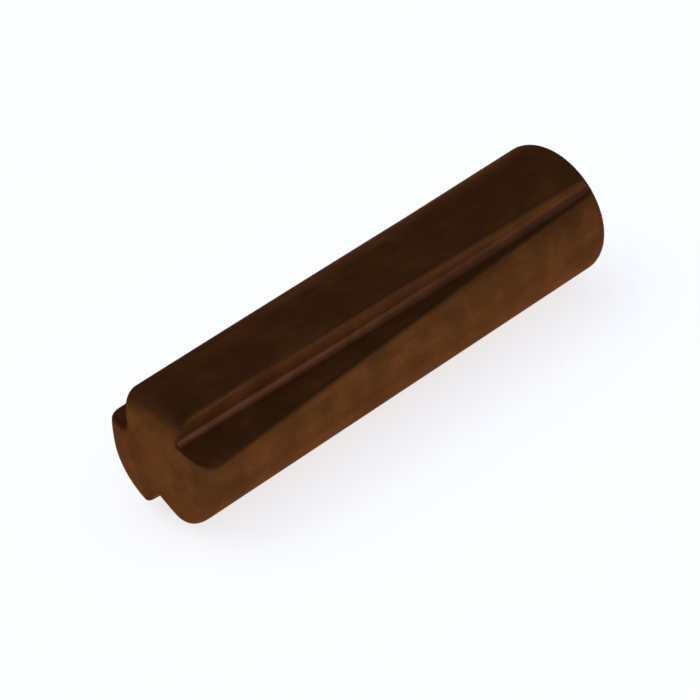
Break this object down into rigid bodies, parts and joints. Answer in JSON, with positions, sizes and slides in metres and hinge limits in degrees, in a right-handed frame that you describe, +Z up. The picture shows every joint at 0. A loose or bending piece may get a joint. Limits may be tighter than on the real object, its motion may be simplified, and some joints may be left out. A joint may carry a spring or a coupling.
{
  "type": "grooved pin",
  "caption": "Short domed steel pin with three tapering lengthwise grooves, which springs tight when pressed into a plain drilled hole.",
  "frame": {"origin": "on the surface the pin lies on, below the middle of its length", "axes": "+X along the pin towards its lead end, which enters the hole first, and +Z up, with one groove facing straight down"},
  "size_m": [0.02, 0.005, 0.005],
  "materials": {
    "steel": "drawn and swaged steel with a dark brown oxide finish"
  },
  "bodies": {
    "root": {"grooved_pin": "steel"}
  },
  "joints": []
}
